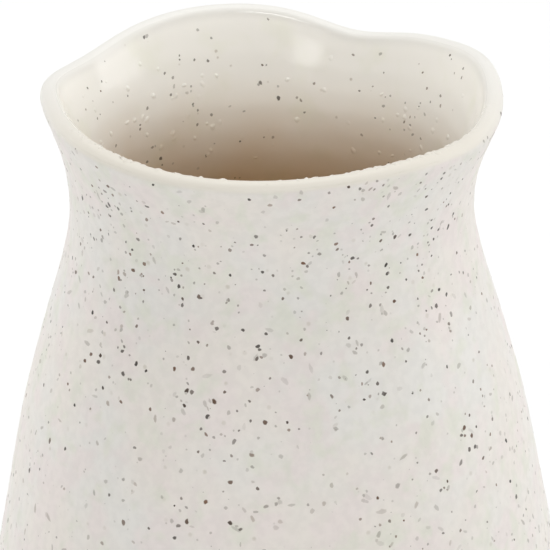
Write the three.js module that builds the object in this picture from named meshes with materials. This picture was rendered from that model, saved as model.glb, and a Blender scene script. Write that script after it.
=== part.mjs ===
// A wheel-thrown stoneware vase with a waved, flared lip.
// Millimetres, +Z up. The origin is the middle of the foot, on the surface that the vase stands on.
// At the waves of the lip, +X is the right-hand rise, and +Y is the back, where the lip is highest.
//
// The pot is fired clay under two coats of glaze: a speckled one that runs from just above the foot
// up the outside to the lip, and a glossy liner that runs over the lip and down inside to the floor.

import * as THREE from "three";

// Driving dimensions
const HEIGHT = 230; // to the lip's mean height, before its waves
const FOOT_RADIUS = 50;
const BELLY_RADIUS = 77.4;
const BELLY_HEIGHT = 70;
const NECK_RADIUS = 53;
const NECK_HEIGHT = 198;
const LIP_RADIUS = 60; // outside, where the lip starts to round over
const WALL = 5.2; // clay and both coats together; the lip is rounded to half of it
const LIP_START = HEIGHT - 0.74 * WALL; // the height at which the leaning lip starts to round over
const LIP_SPLIT = 0.2; // the share of the way over the lip at which the liner takes over
const COAT = 0.6; // one coat of glaze
const GAP = 0.3; // clearance kept between a coat and the clay, and between the two coats

const FLOOR_TOP = 9.5; // the inside floor, at its middle
const FLOOR_TURN = 28; // above the middle of the floor, the inside follows the outside
const FOOT_RING_WIDTH = 5;
const FOOT_RECESS = 2.5; // how far the underside is cut up inside the foot ring
const FOOT_EDGE = 0.8; // the bevel on both edges of the foot ring
const GLAZE_START = 6; // bare clay shows below this height

const SIDES = 48; // facets around; a multiple of 4 keeps the widths along X and Y alike
const NECK_BEND = 18; // the neck's bend, with closer facets, starts this far below its narrowest place
const OUTSIDE_STEPS = [14, 8]; // facets along the outside: below the neck's bend, and above it
const INSIDE_STEPS = [13, 7]; // and along the inside
const LIP_STEPS = [2, 5]; // and over the lip: up to where the liner takes over, and beyond

// The waves of the lip. Each is a smooth bump at an angle from +X towards +Y, half-width in degrees,
// and it carries the lip outwards and upwards by so many millimetres.
const LIP_WAVES = [
  { name: "right rise", at: 19, halfWidth: 12, out: 0.8, up: 2.1 },
  { name: "dip right of the back", at: 66, halfWidth: 11, out: -1.2, up: -3.6 },
  { name: "back rise", at: 107, halfWidth: 22, out: 0.6, up: 3.0 },
  { name: "dip left of the back", at: 146, halfWidth: 11, out: -0.2, up: -1.9 },
  { name: "left end", at: 171, halfWidth: 8, out: 1.2, up: 0 },
  { name: "left rise", at: 193, halfWidth: 22, out: -1.5, up: 1.1 },
  { name: "long low front", at: 257, halfWidth: 22, out: -0.1, up: -0.9 },
  { name: "dip right of the front", at: 333, halfWidth: 14, out: 0.1, up: -1.4 },
];
const WAVES_START = NECK_HEIGHT - 3; // below this height the vase is round

// Outlines, as [radius, height] points

const mix = (a, b, share) => a + (b - a) * share;

function outsideOutline() {
  // Between foot and belly, and between belly and neck: [share of the height, share of the swell].
  const underBelly = [
    [0.06, 0.04],
    [0.24, 0.36],
    [0.54, 0.78],
  ];
  const shoulder = [
    [0.16, 0.95],
    [0.375, 0.76],
    [0.57, 0.56],
    [0.74, 0.325],
    [0.89, 0.1],
  ];
  return [
    [FOOT_RADIUS, 0],
    ...underBelly.map(([up, swell]) => [mix(FOOT_RADIUS, BELLY_RADIUS, swell), BELLY_HEIGHT * up]),
    [BELLY_RADIUS, BELLY_HEIGHT],
    ...shoulder.map(([up, swell]) => [
      mix(NECK_RADIUS, BELLY_RADIUS, swell),
      mix(BELLY_HEIGHT, NECK_HEIGHT, up),
    ]),
    [NECK_RADIUS, NECK_HEIGHT],
    [mix(NECK_RADIUS, LIP_RADIUS, 0.22), mix(NECK_HEIGHT, HEIGHT, 0.43)],
    [LIP_RADIUS, LIP_START],
  ];
}

function floorOutline() {
  // From the middle of the floor to where it has turned up into the wall.
  return [
    [0, FLOOR_TOP],
    [26, FLOOR_TOP + 0.3],
    [41, FLOOR_TOP + 4],
    [54, FLOOR_TOP + 14],
  ];
}

const toCurve = (points) =>
  new THREE.SplineCurve(points.map(([radius, height]) => new THREE.Vector2(radius, height)));

// The points at given shares of a curve's length, moved sideways: to its left as it runs, or to its
// right when the distance is negative.
function beside(curve, distance, shares) {
  return shares.map((share) => {
    const along = curve.getTangentAt(share);
    const left = new THREE.Vector2(-along.y, along.x);
    return curve.getPointAt(share).addScaledVector(left, distance);
  });
}

function evenShares(from, to, steps) {
  return Array.from({ length: steps + 1 }, (_, i) => mix(from, to, i / steps));
}

// The share of a curve's length at which it reaches a height, going up.
function shareAtHeight(curve, height) {
  let low = 0;
  let high = 1;
  while (high - low > 1e-4) {
    const middle = (low + high) / 2;
    if (curve.getPointAt(middle).y < height) low = middle;
    else high = middle;
  }
  return low;
}

const outside = toCurve(outsideOutline());
const LIP_CENTRE = beside(outside, WALL / 2, [1])[0];
const LIP_TURN = outside.getTangentAt(1).angle() - Math.PI / 2; // the way out, seen from the lip's centre

// The inside follows the outside a wall's thickness away, down to where the floor's outline begins.
function insideOutline() {
  const wallStart = shareAtHeight(outside, FLOOR_TOP + FLOOR_TURN);
  const wallPoints = beside(outside, WALL, evenShares(wallStart, 1, 12));
  return [...floorOutline(), ...wallPoints.map((point) => [point.x, point.y])];
}
const inside = toCurve(insideOutline());

// Points at shares of the half circle over the lip, around the middle of its thickness, from its
// outside to its inside.
function overLip(radius, shares) {
  return shares.map((share) => {
    const angle = LIP_TURN + Math.PI * share;
    return new THREE.Vector2(
      LIP_CENTRE.x + radius * Math.cos(angle),
      LIP_CENTRE.y + radius * Math.sin(angle),
    );
  });
}

// Profiles: each runs once round its section, counter-clockwise with the axis on the left. The clay
// and its coats share their places along the wall, so their facets stay parallel.

// The places lie closer together in the neck and the flare, where the wall bends most.
function placesAlong(curve, from, [stepsBelow, stepsAbove]) {
  const bend = shareAtHeight(curve, NECK_HEIGHT - NECK_BEND);
  return [...evenShares(from, bend, stepsBelow), ...evenShares(bend, 1, stepsAbove).slice(1)];
}
const COATED_OUTSIDE = placesAlong(outside, shareAtHeight(outside, GLAZE_START), OUTSIDE_STEPS);
const COATED_INSIDE = placesAlong(inside, 0, INSIDE_STEPS);
const LINER_START = LIP_SPLIT + GAP / ((Math.PI * WALL) / 2);
const SPECKLED_LIP = evenShares(0, LIP_SPLIT, LIP_STEPS[0]);
const LINED_LIP = evenShares(LINER_START, 1, LIP_STEPS[1]);

function clayProfile() {
  const clear = COAT + GAP; // the clay's surface lies this far under both coats' surfaces
  const ringOuter = FOOT_RADIUS - clear;
  const ringInner = ringOuter - FOOT_RING_WIDTH;
  const bareOutside = [shareAtHeight(outside, FOOT_EDGE), shareAtHeight(outside, GLAZE_START / 2)];
  return [
    new THREE.Vector2(0, FOOT_RECESS),
    new THREE.Vector2(ringInner - 2 * FOOT_EDGE, FOOT_RECESS),
    new THREE.Vector2(ringInner - FOOT_EDGE, FOOT_RECESS - FOOT_EDGE),
    new THREE.Vector2(ringInner, 0),
    new THREE.Vector2(ringOuter - FOOT_EDGE, 0),
    ...beside(outside, clear, [...bareOutside, ...COATED_OUTSIDE]),
    ...overLip(WALL / 2 - clear, [...SPECKLED_LIP.slice(1), ...LINED_LIP.slice(0, -1)]),
    ...beside(inside, -clear, COATED_INSIDE).reverse(),
  ];
}

function outerGlazeProfile() {
  return [
    ...beside(outside, 0, COATED_OUTSIDE),
    ...overLip(WALL / 2, SPECKLED_LIP.slice(1)),
    ...overLip(WALL / 2 - COAT, SPECKLED_LIP.slice(1)).reverse(),
    ...beside(outside, COAT, COATED_OUTSIDE).reverse(),
  ];
}

function linerGlazeProfile() {
  return [
    ...beside(inside, -COAT, COATED_INSIDE),
    ...overLip(WALL / 2 - COAT, LINED_LIP.slice(0, -1)).reverse(),
    ...overLip(WALL / 2, LINED_LIP.slice(0, -1)),
    ...beside(inside, 0, COATED_INSIDE).reverse(),
  ];
}

// Solids

const smooth = (share) => THREE.MathUtils.smoothstep(share, 0, 1);

// How far the lip's waves carry a point at this angle, before they fade down the neck.
function waveAt(angle) {
  const wave = { out: 0, up: 0 };
  for (const { at, halfWidth, out, up } of LIP_WAVES) {
    const width = THREE.MathUtils.degToRad(halfWidth);
    const turn = angle - THREE.MathUtils.degToRad(at);
    const strength = Math.exp((Math.cos(turn) - 1) / (width * width));
    wave.out += out * strength;
    wave.up += up * strength;
  }
  return wave;
}

function addLipWaves(geometry) {
  const position = geometry.getAttribute("position");
  const point = new THREE.Vector3();
  for (let i = 0; i < position.count; i++) {
    point.fromBufferAttribute(position, i);
    const share = smooth((point.z - WAVES_START) / (HEIGHT - WAVES_START));
    const radius = Math.hypot(point.x, point.y);
    if (share === 0 || radius === 0) continue;
    const wave = waveAt(Math.atan2(point.y, point.x));
    const grown = 1 + (wave.out * share) / radius;
    position.setXYZ(i, point.x * grown, point.y * grown, point.z + wave.up * share);
  }
}

// Turns a profile round the axis. A profile that stays clear of the axis is closed on itself.
function turned(profile) {
  const first = profile[0];
  const last = profile[profile.length - 1];
  const closed = first.x === 0 && last.x === 0 ? profile : [...profile, first];
  const geometry = new THREE.LatheGeometry(closed, SIDES);
  geometry.rotateX(Math.PI / 2); // the lathe's axis is Y
  addLipWaves(geometry);
  geometry.computeVertexNormals();
  return geometry;
}

function piece(name, profile, look) {
  const mesh = new THREE.Mesh(turned(profile), new THREE.MeshStandardMaterial(look));
  mesh.name = name;
  return mesh;
}

const vase = new THREE.Group();
vase.add(
  piece("stoneware_body", clayProfile(), { color: 0xb59c80, roughness: 0.85, metalness: 0 }),
  piece("outer_glaze", outerGlazeProfile(), { color: 0xe4e0d8, roughness: 0.5, metalness: 0 }),
  piece("liner_glaze", linerGlazeProfile(), { color: 0xe6ddca, roughness: 0.12, metalness: 0 }),
);

export default vase;
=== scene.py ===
# A speckled stoneware vase with a waved lip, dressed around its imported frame.
# Outlines are worked out in millimetres and become metres as each mesh is made. +Z is up, and the
# lip's highest side, its back, faces +Y.
import math
from collections import namedtuple

import bpy
import numpy as np
from mathutils import Matrix, Vector


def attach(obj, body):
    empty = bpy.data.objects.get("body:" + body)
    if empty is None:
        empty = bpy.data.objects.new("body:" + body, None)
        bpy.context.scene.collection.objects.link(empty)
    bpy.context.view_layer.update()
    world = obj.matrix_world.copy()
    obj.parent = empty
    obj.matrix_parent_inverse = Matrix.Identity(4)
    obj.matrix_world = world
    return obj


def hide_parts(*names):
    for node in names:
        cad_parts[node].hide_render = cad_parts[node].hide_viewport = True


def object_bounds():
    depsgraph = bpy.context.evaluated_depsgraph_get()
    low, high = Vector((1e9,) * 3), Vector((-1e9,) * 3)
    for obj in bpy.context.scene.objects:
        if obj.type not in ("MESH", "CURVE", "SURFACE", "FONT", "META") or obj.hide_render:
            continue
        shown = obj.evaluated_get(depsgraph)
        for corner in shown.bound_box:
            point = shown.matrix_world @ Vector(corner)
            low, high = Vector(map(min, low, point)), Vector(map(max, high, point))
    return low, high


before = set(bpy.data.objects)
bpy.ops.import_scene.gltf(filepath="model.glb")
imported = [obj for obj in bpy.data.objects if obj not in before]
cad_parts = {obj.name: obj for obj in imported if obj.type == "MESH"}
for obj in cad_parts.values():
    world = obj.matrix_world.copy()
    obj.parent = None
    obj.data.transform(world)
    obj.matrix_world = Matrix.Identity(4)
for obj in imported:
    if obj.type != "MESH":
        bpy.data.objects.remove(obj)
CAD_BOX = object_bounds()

MM = 0.001  # a millimetre in metres

# Driving dimensions of the frame, in millimetres
HEIGHT = 230
FOOT_RADIUS = 50
BELLY_RADIUS = 77.4
BELLY_HEIGHT = 70
NECK_RADIUS = 53
NECK_HEIGHT = 198
LIP_RADIUS = 60
WALL = 5.2
LIP_START_HEIGHT = HEIGHT - 0.74 * WALL  # where the leaning lip starts to round over
LIP_SPLIT = 0.2  # the share of the way over the lip at which the liner takes over
COAT = 0.6
FLOOR_TOP = 9.5
FLOOR_TURN = 28  # above the middle of the floor, the inside follows the outside
FOOT_RING_WIDTH = 5
FOOT_RECESS = 2.5
GLAZE_START = 6

# The waves of the lip: angle from +X towards +Y and half-width in degrees, then how far each
# carries the lip outwards and upwards in millimetres.
LIP_WAVES = {
    "right rise": (19, 12, 0.8, 2.1),
    "dip right of the back": (66, 11, -1.2, -3.6),
    "back rise": (107, 22, 0.6, 3.0),
    "dip left of the back": (146, 11, -0.2, -1.9),
    "left end": (171, 8, 1.2, 0),
    "left rise": (193, 22, -1.5, 1.1),
    "long low front": (257, 22, -0.1, -0.9),
    "dip right of the front": (333, 14, 0.1, -1.4),
}
WAVES_START = NECK_HEIGHT - 3  # below this height the vase is round

SEED = 23
rng = np.random.default_rng(SEED)


def mix(a, b, share):
    return a + (b - a) * share


def smoothstep(low, high, value):
    share = np.clip((value - low) / (high - low), 0, 1)
    return share * share * (3 - 2 * share)


# Outlines: (radius, height) rows in millimetres


def spline(points, steps=60):
    """A uniform Catmull-Rom curve through the points, as a dense polyline."""
    points = np.array(points, dtype=float)
    padded = np.vstack([points[:1], points, points[-1:]])
    t = np.linspace(0, 1, steps, endpoint=False)[:, None]
    pieces = []
    for before, start, end, after in zip(padded, padded[1:], padded[2:], padded[3:]):
        leave, arrive = (end - before) / 2, (after - start) / 2
        cubic = 2 * start - 2 * end + leave + arrive
        square = -3 * start + 3 * end - 2 * leave - arrive
        pieces.append(cubic * t**3 + square * t**2 + leave * t + start)
    return np.vstack([*pieces, points[-1:]])


def outside_outline():
    """From the foot up to the lip, through (share of the rise, share of the swell) points."""
    under_belly = [(0.06, 0.04), (0.24, 0.36), (0.54, 0.78)]
    shoulder = [(0.16, 0.95), (0.375, 0.76), (0.57, 0.56), (0.74, 0.325), (0.89, 0.1)]
    flare = (mix(NECK_RADIUS, LIP_RADIUS, 0.22), mix(NECK_HEIGHT, HEIGHT, 0.43))
    return spline(
        [
            (FOOT_RADIUS, 0),
            *[(mix(FOOT_RADIUS, BELLY_RADIUS, swell), BELLY_HEIGHT * up) for up, swell in under_belly],
            (BELLY_RADIUS, BELLY_HEIGHT),
            *[
                (mix(NECK_RADIUS, BELLY_RADIUS, swell), mix(BELLY_HEIGHT, NECK_HEIGHT, up))
                for up, swell in shoulder
            ],
            (NECK_RADIUS, NECK_HEIGHT),
            flare,
            (LIP_RADIUS, LIP_START_HEIGHT),
        ]
    )


def right_of(outline):
    """The unit normals to the right of a walk along an outline."""
    step = np.gradient(outline, axis=0)
    step /= np.linalg.norm(step, axis=1, keepdims=True)
    return np.stack([step[:, 1], -step[:, 0]], axis=1)


def over_lip(outside, radius, steps=48):
    """The half circle over the lip, from the end of the outside to the inside."""
    out = right_of(outside)[-1]
    centre = outside[-1] - out * WALL / 2
    turn = math.atan2(out[1], out[0]) + np.linspace(0, math.pi, steps)
    return centre + radius * np.stack([np.cos(turn), np.sin(turn)], axis=1)


WALL_STATIONS = 13  # points of the inside that are taken from the outside


def inside_outline(outside):
    """From the middle of the floor up to the lip."""
    floor = [(0, FLOOR_TOP), (26, FLOOR_TOP + 0.3), (41, FLOOR_TOP + 4), (54, FLOOR_TOP + 14)]
    wall = (outside - right_of(outside) * WALL)[outside[:, 1] > FLOOR_TOP + FLOOR_TURN]
    stations = np.linspace(0, len(wall) - 1, WALL_STATIONS).round().astype(int)
    return spline([*floor, *wall[stations]])


CALM_MIDDLE = 14  # the radius of the floor inside which the hand's unevenness fades out


class Skin:
    """A line on the pot's glazed surface, walked by its length, and turned round the axis."""

    def __init__(self, outline):
        self.outline = outline
        self.along = np.concatenate([[0], np.cumsum(np.linalg.norm(np.diff(outline, axis=0), axis=1))])
        self.out = right_of(outline)

    def place(self, angle, along, lift):
        """Points at an angle and a length along the walk, lifted off the surface, in millimetres."""
        radius, height = (np.interp(along, self.along, self.outline[:, k]) for k in (0, 1))
        out_r, out_z = (np.interp(along, self.along, self.out[:, k]) for k in (0, 1))
        lift = lift + handmade(angle, along) * smoothstep(0, CALM_MIDDLE, radius)
        radius = radius + out_r * lift
        height = height + out_z * lift
        share = smoothstep(WAVES_START, HEIGHT, height)
        wave_out, wave_up = lip_wave(angle)
        radius = radius + wave_out * share
        height = height + wave_up * share
        return np.stack([radius * np.cos(angle), radius * np.sin(angle), height], axis=-1)

    def at_height(self, height, inside=False):
        """The length along the walk at a height of the outside, or of the inside."""
        if not inside:
            return self.along[np.argmax(self.outline[:, 1] >= height)]
        top = np.argmax(self.outline[:, 1])
        return self.along[top + np.argmax(self.outline[top:, 1] <= height)]

    def radius(self, along):
        """The distance from the axis at a length along the walk."""
        return np.interp(along, self.along, self.outline[:, 0])


def lip_wave(angle):
    """How far the lip is carried outwards and upwards at an angle, in millimetres."""
    out, up = np.zeros_like(angle), np.zeros_like(angle)
    for at, half_width, wave_out, wave_up in LIP_WAVES.values():
        width = math.radians(half_width)
        strength = np.exp((np.cos(angle - math.radians(at)) - 1) / width**2)
        out += wave_out * strength
        up += wave_up * strength
    return out, up


THROWING_RING = 6.5  # from one throwing ring to the next, in millimetres


def handmade(angle, along):
    """The slight unevenness and the throwing rings that a hand leaves, in millimetres."""
    turns = 2 * math.pi * along / THROWING_RING
    rings = 0.03 * np.sin(turns + 1.2 * np.sin(angle) + 0.8 * np.sin(3 * angle))
    sway = 0.07 * np.sin(2 * angle + along / 17) * np.sin(along / 29 + 1.0)
    dents = 0.05 * np.sin(5 * angle - along / 11) * np.sin(3 * angle + along / 13 + 2.0)
    return rings + sway + dents


OUTSIDE = outside_outline()
INSIDE = inside_outline(OUTSIDE)
LIP = over_lip(OUTSIDE, WALL / 2)
GLAZED = Skin(np.vstack([OUTSIDE[OUTSIDE[:, 1] >= GLAZE_START], LIP[1:], INSIDE[::-1][1:]]))
LIP_START = GLAZED.at_height(OUTSIDE[-1, 1])
LIP_END = LIP_START + math.pi * WALL / 2
LIP_SEAM = mix(LIP_START, LIP_END, LIP_SPLIT)
LIP_CREST = mix(LIP_START, LIP_END, 0.75)
FLOOR_MIDDLE = GLAZED.along[-1]


# Meshes


def make_object(name, points_mm, faces, material):
    """A smooth-shaded mesh in the scene, from points in millimetres."""
    mesh = bpy.data.meshes.new(name)
    mesh.from_pydata((np.asarray(points_mm) * MM).tolist(), [], faces)
    mesh.polygons.foreach_set("use_smooth", [True] * len(mesh.polygons))
    mesh.materials.append(material)
    mesh.update()
    obj = bpy.data.objects.new(name, mesh)
    bpy.context.scene.collection.objects.link(obj)
    return obj


def ring_faces(lower, upper, sides):
    """Quads between two rings of vertices that start at these numbers."""
    turn = [(j, (j + 1) % sides) for j in range(sides)]
    return [(lower + j, lower + k, upper + k, upper + j) for j, k in turn]


def closed_body(rings, sides):
    """Vertices and faces of rings that close on themselves, or that end in single pole points."""
    points, starts, faces = [], [], []
    for ring in rings:
        starts.append(sum(len(p) for p in points))
        points.append(np.atleast_2d(ring))
    pairs = list(zip(range(len(rings)), range(1, len(rings))))
    if len(points[0]) > 1:
        pairs.append((len(rings) - 1, 0))
    for a, b in pairs:
        if len(points[a]) == 1:
            faces += [(starts[a], starts[b] + (j + 1) % sides, starts[b] + j) for j in range(sides)]
        elif len(points[b]) == 1:
            faces += [(starts[a] + j, starts[a] + (j + 1) % sides, starts[b]) for j in range(sides)]
        else:
            faces += ring_faces(starts[a], starts[b], sides)
    return np.vstack(points), faces


def spaced(start, end, step):
    """Evenly spaced lengths from start to end, about a step apart."""
    return np.linspace(start, end, max(2, int(round(abs(end - start) / step)) + 1))


def around(sides):
    return np.arange(sides) * 2 * math.pi / sides


def mark(piece, name, values):
    """Gives every vertex of a piece a number that its material reads."""
    layer = piece.data.attributes.new(name, "FLOAT", "POINT")
    layer.data.foreach_set("value", np.asarray(values, dtype=np.float32).ravel())


# Glaze and clay bodies

SIDES = 540
FRONT_CLOSER = 0.4  # how much closer together the coats' vertices stand at the front of the lip
ANGLES = around(SIDES) - FRONT_CLOSER * np.cos(around(SIDES))

# Stretches where the liner broke up on the lip: angle and half-width in degrees
ROUGH_STRETCHES = {"left of the front": (226, 12), "right of the front": (308, 13)}


def roughness_of_lip(angle):
    """From 0 on the smooth stretches of the lip to about 1 on the rough ones."""
    rough = np.zeros_like(angle)
    for at, half_width in ROUGH_STRETCHES.values():
        rough += np.exp((np.cos(angle - math.radians(at)) - 1) / math.radians(half_width) ** 2)
    return rough


def lip_nearness(along):
    """1 from where the glazes meet to the lip's crest, and 0 just below them and down inside."""
    rising = smoothstep(LIP_SEAM - 0.8, LIP_SEAM + 0.4, along)
    return rising * (1 - smoothstep(LIP_CREST - 0.5, LIP_END + 2.5, along))


# Uneven lines: (height in millimetres, waves to the turn, phase) of each wave that they add up
GLAZE_LINE = [(0.5, 3, 0.4), (0.35, 7, 2.0), (0.2, 17, 0), (0.12, 41, 1.0)]  # the glaze's lower edge
SEAM_LINE = [(0.16, 5, 1.1), (0.12, 13, 0.3), (0.1, 31, 2.1), (0.06, 67, 0)]  # the liner's edge
CREST_LUMPS = [(0.7, 31, 0), (0.8, 59, 1.9), (0.7, 97, 0.7)]


def uneven_line(waves, angle):
    """How far a line runs above or below its mean, in millimetres."""
    return sum(height * np.sin(count * angle + phase) for height, count, phase in waves)


def rounded(along, reach):
    """A quarter circle: 0 at an edge, 1 from a reach beyond it."""
    return math.sqrt(max(0.0, 1 - (1 - min(along / reach, 1)) ** 2))


def rows_between(*stops):
    """Lengths along the walk, from (start, step) to (start, step) to the last start."""
    parts = [spaced(a, b, step)[:-1] for (a, step), (b, _) in zip(stops, stops[1:])]
    return np.concatenate([*parts, [stops[-1][0]]])


def coat_piece(name, rings, rows, material):
    """A coat's closed body from its rings of vertices and the length along the walk of each."""
    points, faces = closed_body(rings, SIDES)
    piece = make_object(name, points, faces, material)
    nearness = [np.full(len(np.atleast_2d(ring)), lip_nearness(row)) for ring, row in zip(rings, rows)]
    mark(piece, "lip", np.concatenate(nearness))
    return piece


def bump_at(middle, reach, row):
    """1 at the middle, and hardly anything from two reaches away."""
    return math.exp(-(((row - middle) / reach) ** 2))


UNDER_LINER = 1.2  # how far the outer coat runs on under the liner's edge
LET_IN = 0.35  # and how deep it is let in there
EDGE_ROLL = (0.12, 1.6, 1.1)  # height, middle and reach of the thickening along its lower edge
EDGE_FADE = 9  # above that edge, this far up, its waves have died out


def outer_glaze(material):
    """Satin speckled coat: rounded off at its wavy lower line, and let in under the liner's edge."""
    end = LIP_SEAM + UNDER_LINER
    rows = rows_between((0, 0.2), (3, 2.2), (LIP_START - 10, 0.9), (LIP_SEAM - 1, 0.4), (end, 0))
    hidden_rows = rows_between((end, 2), (LIP_START - 4, 8), (0, 0))

    def shifted(row):
        return row + uneven_line(GLAZE_LINE, ANGLES) * (1 - smoothstep(0, EDGE_FADE, row))

    roll_height, roll_middle, roll_reach = EDGE_ROLL
    surface = []
    for row in rows:
        roll = roll_height * bump_at(roll_middle, roll_reach, row)
        let_in = LET_IN * smoothstep(LIP_SEAM + 0.3, end, row)
        lift = roll - COAT * (1 - rounded(row, 0.9)) - let_in
        surface.append(GLAZED.place(ANGLES, shifted(row), lift))
    hidden = [GLAZED.place(ANGLES, shifted(row), -COAT) for row in hidden_rows]
    rings = [*hidden[::-1], *surface[::-1]]
    return coat_piece("outer_glaze_coat", rings, [*hidden_rows[::-1], *rows[::-1]], material)


def flip(faces):
    return [tuple(reversed(face)) for face in faces]


def crest_lumps(angle, row):
    """How far the liner stands up on the rough stretches of the lip's crest, in millimetres."""
    broken = 0.15 * uneven_line(CREST_LUMPS, angle) * (0.6 + 0.4 * np.sin(13 * angle + 0.5))
    return broken * roughness_of_lip(angle) * bump_at(LIP_CREST, 1.1, row)


LINER_EDGE = 0.33  # how far the liner's rounded edge drops
SEAM_FADE = 4  # past the seam, this far on, its waves have died out


def liner_glaze(material):
    """Glossy coat from its edge outside the lip's crest, over the lip and down to the floor."""
    start, end = LIP_SEAM, FLOOR_MIDDLE - 3
    rows = rows_between((start, 0.16), (start + 1, 0.4), (LIP_END + 2, 1.6), (LIP_END + 70, 4), (end, 0))
    hidden_rows = rows_between((start + 0.3, 2), (LIP_END + 6, 9), (end, 0))

    def shifted(row):
        return row + uneven_line(SEAM_LINE, ANGLES) * (1 - smoothstep(start, start + SEAM_FADE, row))

    surface = []
    for row in rows:
        edge = -LINER_EDGE * (1 - rounded(row - start, 0.45))
        surface.append(GLAZED.place(ANGLES, shifted(row), edge + crest_lumps(ANGLES, row)))
    hidden = [GLAZED.place(ANGLES, shifted(row), -COAT) for row in hidden_rows]
    floor = GLAZED.place(np.zeros(1), np.full(1, FLOOR_MIDDLE), 0)
    under = GLAZED.place(np.zeros(1), np.full(1, FLOOR_MIDDLE), -COAT)
    rings = [floor, *surface[::-1], *hidden, under]
    walked = [FLOOR_MIDDLE, *rows[::-1], *hidden_rows, FLOOR_MIDDLE]
    return coat_piece("liner_glaze_coat", rings, walked, material)


CLAY_SIDES = 360
CLAY_DEPTH = COAT + 0.05  # the clay's surface is this far under the glaze's
FOOT_OUTER = FOOT_RADIUS - COAT - 0.1
FOOT_INNER = FOOT_OUTER - FOOT_RING_WIDTH + 0.6
RECESS_FILLET = 1.2  # rounding of the corner inside the foot ring
TURNING_MARKS = 0.08  # depth of the trimming tool's rings on the underside


def circle(radius, height):
    """A ring of the clay's vertices, a little out of round."""
    angles = around(CLAY_SIDES)
    wobbly = radius + 0.05 * np.sin(4 * angles + height)
    return np.stack([wobbly * np.cos(angles), wobbly * np.sin(angles), np.full(CLAY_SIDES, height)], axis=1)


def foot_rings():
    """The underside from near its middle, the foot ring, and the bare clay above it."""
    fillet_middle = FOOT_INNER - 2 * RECESS_FILLET
    recess = [
        circle(radius, FOOT_RECESS + TURNING_MARKS * math.sin(radius * 1.9) * smoothstep(2, 8, radius))
        for radius in spaced(1.5, FOOT_INNER - 3.2, 0.8)
    ]
    corner = [
        circle(fillet_middle + RECESS_FILLET * math.sin(a), FOOT_RECESS - RECESS_FILLET * (1 - math.cos(a)))
        for a in np.radians((0, 20, 40, 60))
    ]
    ring = [
        circle(FOOT_INNER - 0.5, 0.35),
        circle(FOOT_INNER - 0.2, 0.1),
        circle(FOOT_INNER + 0.2, 0.0),
        circle(FOOT_OUTER - 1.0, 0.0),
        circle(FOOT_OUTER - 0.5, 0.12),
        circle(FOOT_OUTER - 0.15, 0.45),
    ]
    bare = [
        circle(np.interp(height, OUTSIDE[:, 1], OUTSIDE[:, 0]) - CLAY_DEPTH, height)
        for height in (1.0, 2.2, 3.6, 5.0)
    ]
    return [*recess, *corner, *ring, *bare]


def stoneware_body(material):
    """The clay: bare at the foot, and elsewhere just under both coats."""
    angles, end = around(CLAY_SIDES), FLOOR_MIDDLE - 6
    rows = rows_between((0, 1.5), (8, 6), (LIP_START, 1.0), (LIP_END, 6), (end, 0))
    covered = [GLAZED.place(angles, row, np.full(CLAY_SIDES, -CLAY_DEPTH)) for row in rows]
    first = np.array([[0, 0, FOOT_RECESS]])
    last = GLAZED.place(np.zeros(1), np.full(1, FLOOR_MIDDLE), np.full(1, -CLAY_DEPTH))
    points, faces = closed_body([first, *foot_rings(), *covered, last], CLAY_SIDES)
    return make_object("stoneware_clay", points, flip(faces), material)


# Grains: small closed lenses that lie on the skin, for iron spots, crumbs on the lip and pimples


class Grains:
    """Places and sizes of grains: lengths in millimetres, angles in radians."""

    def __init__(self, angle, along, size, stretch, height, strength, warmth):
        count = len(angle)
        self.angle, self.along, self.size = angle, along, size
        self.stretch, self.height = stretch, height
        self.strength, self.warmth = strength, warmth
        self.turn = rng.random(count) * math.pi
        self.phases = rng.random((3, count)) * 2 * math.pi


FLAT_RINGS = (0.5, 1.0)  # a flat grain's rings of vertices, as shares of its size
DOME_RINGS = (0.25, 0.5, 0.75, 1.0)
GRAIN_SIDES = 8
GRAIN_UNEVEN = {2: 0.14, 3: 0.1, 4: 0.06}  # waves round a grain's rim, and the share each moves it
SINK = 0.02  # how far a grain's rim is let into the glaze, in millimetres
ROOT = 0.3  # and the point under its middle


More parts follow.
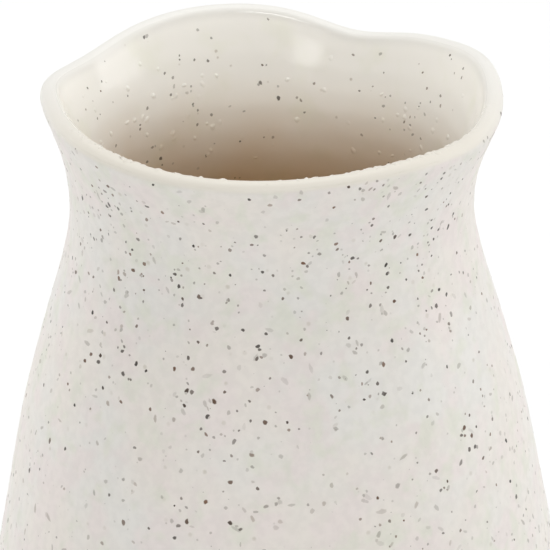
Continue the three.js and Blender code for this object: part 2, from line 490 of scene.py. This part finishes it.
def grain_body(name, grains, material, ring_shares=FLAT_RINGS):
    """All the grains of a kind as one mesh, each a closed lens on the skin."""
    count = len(grains.angle)
    way = around(GRAIN_SIDES)[None, :] + grains.turn[:, None]
    uneven = 1
    for (waves, share), phases in zip(GRAIN_UNEVEN.items(), grains.phases):
        uneven = uneven + share * np.sin(waves * way + phases[:, None])
    radius = GLAZED.radius(grains.along)
    turn = grains.turn[:, None]

    def place(share, lift):
        reach = grains.size[:, None] * share * uneven
        long_way = reach * np.cos(way - turn) * grains.stretch[:, None]
        short_way = reach * np.sin(way - turn)
        c, s = np.cos(turn), np.sin(turn)
        across, along = long_way * c - short_way * s, long_way * s + short_way * c
        return GLAZED.place(
            grains.angle[:, None] + across / radius[:, None],
            grains.along[:, None] + along,
            np.broadcast_to(lift, across.shape),
        )

    dome = [grains.height[:, None] * (1 - share**2) ** 1.5 - SINK * share**4 for share in ring_shares]
    rings = [place(share, lift) for share, lift in zip(ring_shares, dome)]
    middle = GLAZED.place(grains.angle, grains.along, grains.height)[:, None]
    root = GLAZED.place(grains.angle, grains.along, np.full(count, -ROOT))[:, None]
    points = np.concatenate([middle, *rings, root], axis=1)
    per_grain = points.shape[1]

    fan = [(0, 1 + j, 1 + (j + 1) % GRAIN_SIDES) for j in range(GRAIN_SIDES)]
    bands = [
        quad
        for k in range(len(ring_shares) - 1)
        for quad in ring_faces(1 + k * GRAIN_SIDES, 1 + (k + 1) * GRAIN_SIDES, GRAIN_SIDES)
    ]
    rim = 1 + (len(ring_shares) - 1) * GRAIN_SIDES
    under = [(rim + (j + 1) % GRAIN_SIDES, rim + j, per_grain - 1) for j in range(GRAIN_SIDES)]
    pattern = [*fan, *flip(bands), *under]
    faces = [tuple(v + i * per_grain for v in face) for i in range(count) for face in pattern]
    piece = make_object(name, points.reshape(-1, 3), faces, material)

    colour = np.ones((count, per_grain, 4))
    colour[:, :, 0] = np.concatenate([[1], np.repeat(1 - np.array(ring_shares), GRAIN_SIDES), [0]])
    colour[:, :, 1] = grains.strength[:, None]
    colour[:, :, 2] = grains.warmth[:, None]
    layer = piece.data.attributes.new("grain", "FLOAT_COLOR", "POINT")
    layer.data.foreach_set("color", colour.reshape(-1).astype(np.float32))
    mark(piece, "lip", np.repeat(lip_nearness(grains.along), per_grain))
    sharpen_rims(piece.data, rim, per_grain)
    return piece


def sharpen_rims(mesh, rim, per_grain):
    """The underside's shading is kept off the dome by a sharp edge along each rim."""
    ends = np.empty(len(mesh.edges) * 2, dtype=np.int64)
    mesh.edges.foreach_get("vertices", ends)
    within = ends.reshape(-1, 2) % per_grain
    on_rim = ((within >= rim) & (within < rim + GRAIN_SIDES)).all(axis=1)
    layer = mesh.attributes.new("sharp_edge", "BOOLEAN", "EDGE")
    layer.data.foreach_set("value", on_rim)


SCATTER_STEPS = 2000  # parts of the walk, by whose area points are scattered


def scattered(count, start, end):
    """Angles and lengths along the walk, even over the area of the skin between two lengths."""
    along = np.linspace(start, end, SCATTER_STEPS)
    weight = np.cumsum(GLAZED.radius(along))
    picked = np.interp(rng.random(count) * weight[-1], weight, along)
    return rng.random(count) * 2 * math.pi, picked


def clustered(count, start, end, share, spread):
    """The same, but a share of the points gathers round others, within a spread in millimetres."""
    angle, along = scattered(count, start, end)
    followers = np.nonzero(rng.random(count) < share)[0]
    leaders = rng.integers(0, count // 3, len(followers))
    radius = GLAZED.radius(along[leaders])
    angle[followers] = angle[leaders] + rng.normal(0, spread, len(followers)) / radius
    along[followers] = along[leaders] + rng.normal(0, spread, len(followers))
    return angle, np.clip(along, start, end)


GROUP_FLATNESS = 0.8  # how tall a loose group is, as a share of its width


def gathered(groups, inside=False):
    """Angles and lengths along the walk of points in loose groups."""
    angles, alongs = [], []
    for at, height, spread, count in groups.values():
        middle = GLAZED.at_height(height, inside)
        angles.append(math.radians(at) + rng.normal(0, spread, count) / GLAZED.radius(middle))
        alongs.append(middle + rng.normal(0, spread * GROUP_FLATNESS, count))
    return np.concatenate(angles), np.concatenate(alongs)


# Loose groups: angle in degrees, height and spread in millimetres, and how many
IRON_GROUPS_OUTSIDE = {
    "under the left of the lip": (224, 212, 7, 26),
    "left of the neck": (238, 198, 10, 32),
    "left of the shoulder": (226, 178, 14, 22),
    "middle of the neck": (258, 208, 10, 14),
    "middle of the shoulder": (282, 187, 16, 18),
    "right of the neck": (309, 202, 12, 52),
    "right of the shoulder": (311, 182, 14, 26),
    "under the right of the lip": (322, 213, 7, 18),
}

IRON_GROUPS_INSIDE = {
    "right of the back": (45, 208, 8, 12),
    "back": (88, 222, 12, 5),
    "left of the back": (122, 203, 9, 14),
    "left": (128, 220, 10, 10),
}

PIMPLE_GROUPS = {
    "left of the back": (117, 205, 7, 14),
    "back": (96, 195, 8, 5),
    "right of the back": (52, 207, 9, 9),
    "right": (35, 210, 6, 8),
    "left": (133, 212, 8, 8),
}


def joined(*pairs):
    """One list of angles and one of lengths from several."""
    return np.concatenate([pair[0] for pair in pairs]), np.concatenate([pair[1] for pair in pairs])


# A kind of iron spot: its places, its radius in millimetres and how much that spreads, the weakest
# and strongest of its colour, and how much longer than wide it grows at most
SpotKind = namedtuple("SpotKind", "places radius spread weakest strongest stretch")
SPOT_HEIGHT = 0.03  # how far an iron spot stands up, in millimetres
SPOT_LEAST, SPOT_MOST = 0.25, 0.85  # limits of an iron spot's radius, in millimetres
DARK_IN_GROUPS = 0.35  # the share of the grouped spots outside that are dark


def iron_spots_outside():
    """Dark, medium and faint spots of iron, more of them under the lip and on the neck."""
    start, end = 4, LIP_SEAM - 0.3
    groups = gathered(IRON_GROUPS_OUTSIDE)
    dark = rng.random(len(groups[0])) < DARK_IN_GROUPS
    dark_groups = [values[dark] for values in groups]
    other_groups = [values[~dark] for values in groups]
    dark_places = joined(clustered(500, start, end, 0.3, 6), dark_groups)
    medium_places = joined(clustered(1600, start, end, 0.4, 6), other_groups)
    faint_places = clustered(1900, start, end, 0.3, 5)
    kinds = [
        SpotKind(dark_places, 0.68, 0.26, weakest=0.8, strongest=1.0, stretch=0.45),
        SpotKind(medium_places, 0.5, 0.26, weakest=0.3, strongest=0.8, stretch=0.6),
        SpotKind(faint_places, 0.6, 0.35, weakest=0.1, strongest=0.36, stretch=1.8),
    ]
    return spots_of(kinds, start, end)


def iron_spots_inside():
    """Dark and fainter spots of iron under the liner, down to the lower wall."""
    start, end = LIP_END + 1, FLOOR_MIDDLE - 20
    groups = gathered(IRON_GROUPS_INSIDE, inside=True)
    dark_places = clustered(260, start, end, 0.35, 6)
    fainter_places = joined(clustered(420, start, end, 0.3, 6), groups)
    kinds = [
        SpotKind(dark_places, 0.48, 0.2, weakest=0.5, strongest=0.9, stretch=0.45),
        SpotKind(fainter_places, 0.44, 0.22, weakest=0.25, strongest=0.75, stretch=0.6),
    ]
    return spots_of(kinds, start, end)


def spots_of(kinds, start, end):
    """The grains of several kinds of iron spot, kept between two lengths along the walk."""
    angle, along, size, stretch, strength = [], [], [], [], []
    for kind in kinds:
        at, length = kind.places
        count = len(at)
        radius = kind.radius * np.exp(rng.normal(0, kind.spread, count))
        angle.append(at)
        along.append(np.clip(length, start, end))
        size.append(np.clip(radius, SPOT_LEAST, SPOT_MOST))
        stretch.append(1 + kind.stretch * rng.random(count) ** 2)
        strength.append(rng.uniform(kind.weakest, kind.strongest, count))
    count = sum(len(values) for values in angle)
    return Grains(
        angle=np.concatenate(angle),
        along=np.concatenate(along),
        size=np.concatenate(size),
        stretch=np.concatenate(stretch),
        height=np.full(count, SPOT_HEIGHT),
        strength=np.concatenate(strength),
        warmth=rng.random(count) ** 3,
    )


CRUMBS_TRIED = 2200  # evenly round the lip, before those on its smooth stretches are left out
CRUMBS_KEPT = 0.36  # the share kept where the lip is roughest


def lip_crumbs():
    """Crumbs of glaze on the rough stretches of the lip's crest."""
    angle = rng.random(CRUMBS_TRIED) * 2 * math.pi
    angle = angle[rng.random(CRUMBS_TRIED) < CRUMBS_KEPT * roughness_of_lip(angle)]
    count = len(angle)
    return Grains(
        angle=angle,
        along=rng.normal(LIP_CREST, 0.6, count),
        size=rng.uniform(0.3, 1.15, count),
        stretch=1 + rng.random(count) * 0.8,
        height=rng.uniform(0.06, 0.38, count),
        strength=np.zeros(count),
        warmth=np.zeros(count),
    )


def liner_pimples():
    """Pimples that stand up under the glossy liner."""
    even = scattered(420, LIP_END + 6, FLOOR_MIDDLE - 30)
    angle, along = joined(even, gathered(PIMPLE_GROUPS, inside=True))
    count = len(angle)
    return Grains(
        angle=angle,
        along=along,
        size=rng.uniform(0.5, 0.95, count),
        stretch=1 + rng.random(count) * 0.4,
        height=rng.uniform(0.06, 0.2, count),
        strength=np.zeros(count),
        warmth=np.zeros(count),
    )


# Materials. Colours are linear red, green, blue and alpha.

GLAZE_WARM = (0.745, 0.702, 0.648, 1)
GLAZE_COOL = (0.725, 0.708, 0.668, 1)
GLAZE_PINK = (0.745, 0.675, 0.65, 1)
GLAZE_GREEN = (0.675, 0.68, 0.585, 1)
LINER_TONE = (0.94, 0.915, 0.85, 1)  # of the thick glossy glaze inside, near the lip
LINER_PAINTED_SHADE = (0.62, 0.405, 0.195, 1)  # and lower down inside: painted shade, the colour darkened and browned to stand for the shade and warm bounced light deep in the pot
LINER_GREEN = (0.9, 0.93, 0.82, 1)  # multiplies the liner's colour in patches
FRONT_LIP_BREAK_AND_SHADE = (0.73, 0.69, 0.61, 1)  # partly where the glazes thin over the lip, partly painted shade that darkens the brightly lit lip, most at its front
# the back of the lip: glaze thinning and painted shade, lighter than at the front
BACK_LIP_BREAK_AND_SHADE = (0.80, 0.785, 0.74, 1)
SPECK_TAN = (0.50, 0.46, 0.38, 1)
SPECK_GREY = (0.36, 0.33, 0.29, 1)
SPECK_DARK = (0.16, 0.13, 0.11, 1)
SPECK_BROWN = (0.36, 0.28, 0.2, 1)
IRON_HALO = (0.42, 0.33, 0.22, 1)
IRON_BLACK = (0.028, 0.022, 0.018, 1)
IRON_RUST = (0.16, 0.075, 0.035, 1)
CLAY_DARK = (0.40, 0.27, 0.17, 1)
CLAY_PALE = (0.52, 0.38, 0.26, 1)
GRIT_DARK = (0.10, 0.06, 0.04, 1)
GRIT_PALE = (0.66, 0.54, 0.42, 1)
LINER_SHADE_TURNS = (0.219, 0.172)  # heights in metres between which the liner turns from pale to its painted shade
LIP_SHADE_TURNS = (0.02, -0.045)  # places along Y in metres between which the lip turns to its darker front tone, a painted shade


class Shader:
    """One material's node tree, with a call for each kind of node that the glazes need."""

    def __init__(self, name):
        self.material = bpy.data.materials.new(name)
        self.material.use_nodes = True
        self.nodes = self.material.node_tree.nodes
        self.links = self.material.node_tree.links
        self.surface = self.nodes["Principled BSDF"]
        self.here = self.node("ShaderNodeTexCoord").outputs["Object"]

    def node(self, kind, inputs=None, **settings):
        made = self.nodes.new(kind)
        for key, value in settings.items():
            setattr(made, key, value)
        for key, value in (inputs or {}).items():
            self.put(made.inputs[key], value)
        return made

    def put(self, socket, value):
        if isinstance(value, bpy.types.NodeSocket):
            self.links.new(value, socket)
        else:
            socket.default_value = value

    def set(self, **inputs):
        """Sets the surface shader's own sockets: base_color is its Base Color."""
        for key, value in inputs.items():
            self.put(self.surface.inputs[key.replace("_", " ").title()], value)

    def noise(self, size, detail=2.0, where=None):
        """Noise from about 0.2 to 0.8, with features of a size in millimetres."""
        inputs = {"Vector": where or self.here, "Scale": 1 / (size * MM), "Detail": detail}
        return self.node("ShaderNodeTexNoise", inputs).outputs["Fac"]

    def cells(self, size, where=None):
        """Distance in millimetres to the nearest scattered point, and that point's random colour."""
        inputs = {"Vector": where or self.here, "Scale": 1 / (size * MM)}
        voronoi = self.node("ShaderNodeTexVoronoi", inputs)
        return self.math("MULTIPLY", voronoi.outputs["Distance"], size), voronoi.outputs["Color"]

    def math(self, operation, a, b):
        return self.node("ShaderNodeMath", {0: a, 1: b}, operation=operation).outputs[0]

    def step(self, value, low, high, to_low=0.0, to_high=1.0):
        """A smooth step of a value from low to high."""
        inputs = {"Value": value, "From Min": low, "From Max": high, "To Min": to_low, "To Max": to_high}
        return self.node("ShaderNodeMapRange", inputs, interpolation_type="SMOOTHSTEP").outputs[0]

    def blend(self, share, a, b, how="MIX"):
        """One colour over another, by a share from 0 to 1."""
        made = self.node("ShaderNodeMix", data_type="RGBA", blend_type=how)
        for index, value in ((0, share), (6, a), (7, b)):
            self.put(made.inputs[index], value)
        return made.outputs[2]

    def jittered(self, size, amount):
        """Coordinates shaken by noise, to make round spots irregular; both lengths in millimetres."""
        noise = self.node("ShaderNodeTexNoise", {"Vector": self.here, "Scale": 1 / (size * MM)})
        centred = self.node(
            "ShaderNodeVectorMath", {0: noise.outputs["Color"], 1: (0.5, 0.5, 0.5)}, operation="SUBTRACT"
        )
        shaken = self.node(
            "ShaderNodeVectorMath",
            {0: centred.outputs[0], 1: (2 * amount * MM,) * 3, 2: self.here},
            operation="MULTIPLY_ADD",
        )
        return shaken.outputs[0]

    def grey(self, value):
        channels = {"Red": value, "Green": value, "Blue": value}
        return self.node("ShaderNodeCombineColor", channels).outputs[0]

    def channel(self, colour, name):
        return self.node("ShaderNodeSeparateColor", {"Color": colour}).outputs[name]

    def bump(self, height, depth, under=None):
        """Bump whose full range of height is a depth in millimetres."""
        inputs = {"Height": height, "Distance": depth * MM}
        if under is not None:
            inputs["Normal"] = under
        return self.node("ShaderNodeBump", inputs).outputs[0]


def faint_specks(shader, colour, spacing, radius, share, tint, strength):
    """Soft specks under the glaze: their spacing and radius in millimetres, and the share of them
    that shows."""
    distance, random = shader.cells(spacing, shader.jittered(0.6, 0.16))
    shown = shader.step(shader.channel(random, "Red"), 1 - share - 0.02, 1 - share + 0.02)
    weight = shader.step(shader.channel(random, "Green"), 0, 1, 0.35, 1.0)
    disc = shader.step(distance, radius, radius * 0.35)
    opacity = shader.math("MULTIPLY", disc, shader.math("MULTIPLY", shown, weight))
    return shader.blend(shader.math("MULTIPLY", opacity, strength), colour, tint)


def iron_over(shader, colour):
    """Iron of the grains laid over a glaze's colour: a tan halo, then a dark irregular core."""
    grain = shader.node("ShaderNodeAttribute", attribute_name="grain").outputs["Color"]
    closeness, strength, warmth = (shader.channel(grain, name) for name in ("Red", "Green", "Blue"))
    ragged = shader.math("MULTIPLY", shader.noise(0.5, 2.0), 0.3)
    closeness = shader.math("ADD", closeness, shader.math("SUBTRACT", ragged, 0.15))
    halo = shader.math("MULTIPLY", shader.step(closeness, 0.0, 0.4), strength)
    core = shader.math("MULTIPLY", shader.step(closeness, 0.12, 0.5), strength)
    colour = shader.blend(shader.math("MULTIPLY", halo, 0.3), colour, IRON_HALO)
    return shader.blend(core, colour, shader.blend(warmth, IRON_BLACK, IRON_RUST))


def nearness_to_lip(shader):
    """The lip number that each vertex was given."""
    return shader.node("ShaderNodeAttribute", attribute_name="lip").outputs["Fac"]


def shaded_and_thinned_at_lip(shader, colour):
    """The glaze's colour, taken on and near the lip to a darker tone: partly the glazes thinning there,
    partly painted shade, darker at the front.
    """
    depth = shader.node("ShaderNodeSeparateXYZ", {"Vector": shader.here}).outputs["Y"]
    # Painted shade, partly also the glazes thinning: the lip darker than the glaze, most at its front along
    # Y.
    lip_break_and_shade = shader.blend(shader.step(depth, *LIP_SHADE_TURNS), BACK_LIP_BREAK_AND_SHADE, FRONT_LIP_BREAK_AND_SHADE)
    return shader.blend(nearness_to_lip(shader), colour, lip_break_and_shade)


def patchy_glaze(shader):
    """Warm, cool, pink and greenish patches, with finer mottling over them."""
    warm_cool = shader.step(shader.noise(26, 2.0), 0.35, 0.65)
    colour = shader.blend(warm_cool, GLAZE_WARM, GLAZE_COOL)
    pink = shader.math("MULTIPLY", shader.step(shader.noise(11, 3.0), 0.46, 0.66), 0.7)
    colour = shader.blend(pink, colour, GLAZE_PINK)
    elsewhere = shader.jittered(30, 9)
    green = shader.math("MULTIPLY", shader.step(shader.noise(8, 3.0, elsewhere), 0.5, 0.7), 0.7)
    colour = shader.blend(green, colour, GLAZE_GREEN)
    mottled = shader.step(shader.noise(2.4, 3.0), 0.35, 0.65, 0.975, 1.02)
    return shader.blend(1.0, colour, shader.grey(mottled), "MULTIPLY")


def speckled_glaze():
    """Satin glaze of the outside, with a faint orange-peel surface and fine pits."""
    shader = Shader("speckled_glaze")
    colour = shaded_and_thinned_at_lip(shader, patchy_glaze(shader))
    colour = faint_specks(shader, colour, 5.2, radius=0.85, share=0.5, tint=SPECK_TAN, strength=0.55)
    colour = faint_specks(shader, colour, 3.1, radius=0.42, share=0.42, tint=SPECK_GREY, strength=0.6)
    colour = faint_specks(shader, colour, 2.3, radius=0.22, share=0.3, tint=SPECK_DARK, strength=0.75)
    colour = iron_over(shader, colour)

    soft = shader.noise(4.5, 2.0)
    peel = shader.noise(1.1, 2.0)
    pits, _ = shader.cells(2.6)
    normal = shader.bump(soft, 0.06)
    normal = shader.bump(peel, 0.018, normal)
    normal = shader.bump(shader.step(pits, 0.08, 0.2), 0.02, normal)
    roughness = shader.step(shader.noise(3, 3.0), 0.3, 0.7, 0.36, 0.5)
    shader.set(base_color=colour, roughness=roughness, normal=normal)
    return shader.material


def glossy_liner():
    """Glossy glaze of the inside, with painted shade that darkens and browns it lower down, and duller over
    the lip.
    """
    shader = Shader("glossy_liner")
    height = shader.node("ShaderNodeSeparateXYZ", {"Vector": shader.here}).outputs["Z"]
    uneven = shader.math("MULTIPLY", shader.noise(22, 2.0), 0.012)
    height = shader.math("ADD", height, shader.math("SUBTRACT", uneven, 0.006))
    # Painted shade: lower down inside, the colour darkens and browns to stand for the shade and warm
    # bounced light deep in the pot.
    colour = shader.blend(shader.step(height, *LINER_SHADE_TURNS), LINER_TONE, LINER_PAINTED_SHADE)
    green = shader.math("MULTIPLY", shader.step(shader.noise(13, 3.0), 0.48, 0.7), 0.35)
    colour = shader.blend(green, colour, LINER_GREEN, "MULTIPLY")
    colour = shaded_and_thinned_at_lip(shader, colour)
    colour = faint_specks(shader, colour, 4.6, radius=0.6, share=0.35, tint=SPECK_BROWN, strength=0.5)
    colour = iron_over(shader, colour)

    normal = shader.bump(shader.noise(9, 1.0), 0.10)
    normal = shader.bump(shader.noise(1.6, 1.0), 0.008, normal)
    roughness = shader.step(nearness_to_lip(shader), 0.8, 1.0, 0.15, 0.42)
    shader.set(base_color=colour, roughness=roughness, normal=normal)
    return shader.material


def bare_clay():
    """Buff clay with dark and pale grit."""
    shader = Shader("bare_clay")
    tone = shader.step(shader.noise(7, 4.0), 0.3, 0.7)
    colour = shader.blend(tone, CLAY_DARK, CLAY_PALE)
    colour = faint_specks(shader, colour, 2.2, radius=0.35, share=0.5, tint=GRIT_DARK, strength=0.9)
    colour = faint_specks(shader, colour, 1.6, radius=0.3, share=0.4, tint=GRIT_PALE, strength=0.7)
    normal = shader.bump(shader.noise(0.5, 3.0), 0.08)
    normal = shader.bump(shader.noise(2.2, 2.0), 0.1, normal)
    shader.set(base_color=colour, roughness=0.85, normal=normal)
    return shader.material


def build_vase():
    """Every piece of the vase, riding on the frame's one body; the pieces are listed under slot names."""
    glaze, liner, clay = speckled_glaze(), glossy_liner(), bare_clay()
    coat = outer_glaze(glaze)
    lining = liner_glaze(liner)
    body = stoneware_body(clay)
    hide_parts("outer_glaze")
    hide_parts("liner_glaze")
    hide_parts("stoneware_body")
    slots = {
        "speckled_glaze": [coat],
        "liner_glaze": [
            lining,
            grain_body("lip_crumbs", lip_crumbs(), liner, DOME_RINGS),
            grain_body("liner_pimples", liner_pimples(), liner, DOME_RINGS),
        ],
        "bare_clay": [body],
        "iron_spots": [
            grain_body("iron_spots_outside", iron_spots_outside(), glaze),
            grain_body("iron_spots_inside", iron_spots_inside(), liner),
        ],
    }
    for slot, pieces in slots.items():
        for piece in pieces:
            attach(piece, "root")


# Stage, lights and camera


FLOOR_SIZE = 3  # metres


def stage():
    """A plain pale floor under the vase's foot."""
    material = bpy.data.materials.new("white_floor")
    material.use_nodes = True
    surface = material.node_tree.nodes["Principled BSDF"]
    surface.inputs["Base Color"].default_value = (0.9, 0.9, 0.9, 1)
    surface.inputs["Roughness"].default_value = 0.8
    surface.inputs["Specular IOR Level"].default_value = 0.1
    bpy.ops.mesh.primitive_plane_add(size=FLOOR_SIZE, location=(0, 0, CAD_BOX[0][2]))
    floor = bpy.context.object
    floor.name = "floor"
    floor.data.materials.append(material)


LIGHTS_AIM = Vector((0, 0, 0.16))
SURROUND_LIGHT = 0.5  # how brightly the white surround lights the vase, against how the camera sees it


def softbox(name, place, size, power, mirrored=True):
    """A rectangular light aimed at the vase, which its gloss mirrors or doesn't; metres and watts."""
    light = bpy.data.lights.new(name, "AREA")
    light.shape = "RECTANGLE"
    light.size, light.size_y = size
    light.energy = power
    box = bpy.data.objects.new(name, light)
    box.location = place
    box.rotation_euler = (LIGHTS_AIM - Vector(place)).to_track_quat("-Z", "Y").to_euler()
    box.visible_glossy = mirrored
    bpy.context.scene.collection.objects.link(box)


def surround():
    """A white world that the camera sees at full brightness."""
    world = bpy.data.worlds.new("studio")
    world.use_nodes = True
    nodes, links = world.node_tree.nodes, world.node_tree.links
    nodes["Background"].inputs["Color"].default_value = (1, 1, 1, 1)
    seen = nodes.new("ShaderNodeLightPath").outputs["Is Camera Ray"]
    brightness = nodes.new("ShaderNodeMapRange")
    brightness.inputs["To Min"].default_value = SURROUND_LIGHT
    brightness.inputs["To Max"].default_value = 1.0
    links.new(seen, brightness.inputs["Value"])
    links.new(brightness.outputs[0], nodes["Background"].inputs["Strength"])
    bpy.context.scene.world = world


def lights():
    """Soft light from above, both sides and in front; the strip and the window show in the gloss."""
    softbox("overhead", (0.0, 0.35, 1.5), (1.4, 1.4), 9.5)
    softbox("right", (1.5, 0.1, 0.6), (1.0, 1.4), 7)
    softbox("back_left", (-1.3, 1.0, 0.42), (0.9, 1.0), 10.5, mirrored=False)
    softbox("back_right", (1.3, 1.0, 0.7), (0.9, 1.2), 4.5, mirrored=False)
    softbox("strip", (0.05, -1.27, 1.2), (0.7, 0.12), 4)
    softbox("window", (-0.5, -1.4, 0.72), (0.38, 0.34), 1.3)
    softbox("front_left", (-0.7, -1.6, 0.4), (1.5, 1.2), 2.5, mirrored=False)


CAMERA_DISTANCE = 1.3  # metres
CAMERA_ELEVATION = math.radians(24)
CAMERA_ROLL = math.radians(-0.76)
CAMERA_SENSOR = 36  # millimetres across
CAMERA_LENS = 323
CAMERA_AIM = Vector((0.0006, 0, 0.1779))


def camera():
    """In front of the vase, above it and looking down at its neck."""
    data = bpy.data.cameras.new("camera")
    data.sensor_width = CAMERA_SENSOR
    data.lens = CAMERA_LENS
    data.clip_start, data.clip_end = 0.05, 30
    made = bpy.data.objects.new("camera", data)
    back = Vector((0, -math.cos(CAMERA_ELEVATION), math.sin(CAMERA_ELEVATION)))
    look = (-back).to_track_quat("-Z", "Y").to_matrix().to_4x4()
    roll = Matrix.Rotation(CAMERA_ROLL, 4, "Z")
    made.matrix_world = Matrix.Translation(CAMERA_AIM + back * CAMERA_DISTANCE) @ look @ roll
    bpy.context.scene.collection.objects.link(made)
    bpy.context.scene.camera = made


build_vase()
stage()
surround()
lights()
camera()
bpy.context.scene.view_settings.view_transform = "Standard"
